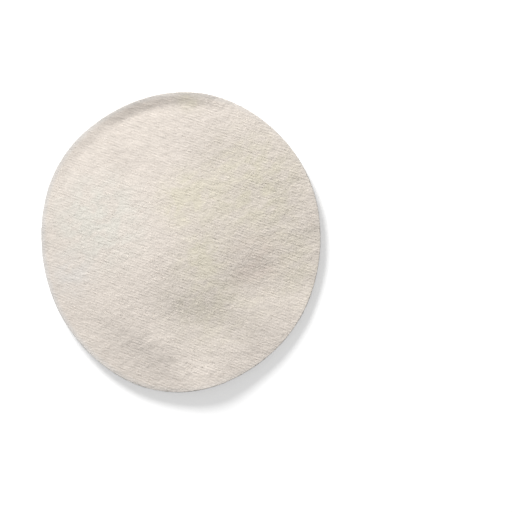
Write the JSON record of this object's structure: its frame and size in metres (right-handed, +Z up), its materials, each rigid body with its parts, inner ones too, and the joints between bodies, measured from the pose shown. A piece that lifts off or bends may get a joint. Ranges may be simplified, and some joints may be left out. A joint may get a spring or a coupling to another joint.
{
  "type": "cotton pad",
  "caption": "Flat oval pad of felted cotton with fine parallel jet ribs, a soft cut rim and one upturned lip; lies flat, for wiping and applying.",
  "frame": {"origin": "under the middle of the pad's box, on the surface that it lies on", "axes": "+Z up through the pad's thickness, +Y along its longer side, which points up in the picture, +X to the right in the picture"},
  "size_m": [0.056, 0.0602, 0.0031],
  "materials": {
    "cotton": "matte unbleached off-white felted cotton, fine parallel ribs and loose surface fibres"
  },
  "bodies": {
    "root": {"cotton_pad": "cotton"}
  },
  "joints": []
}
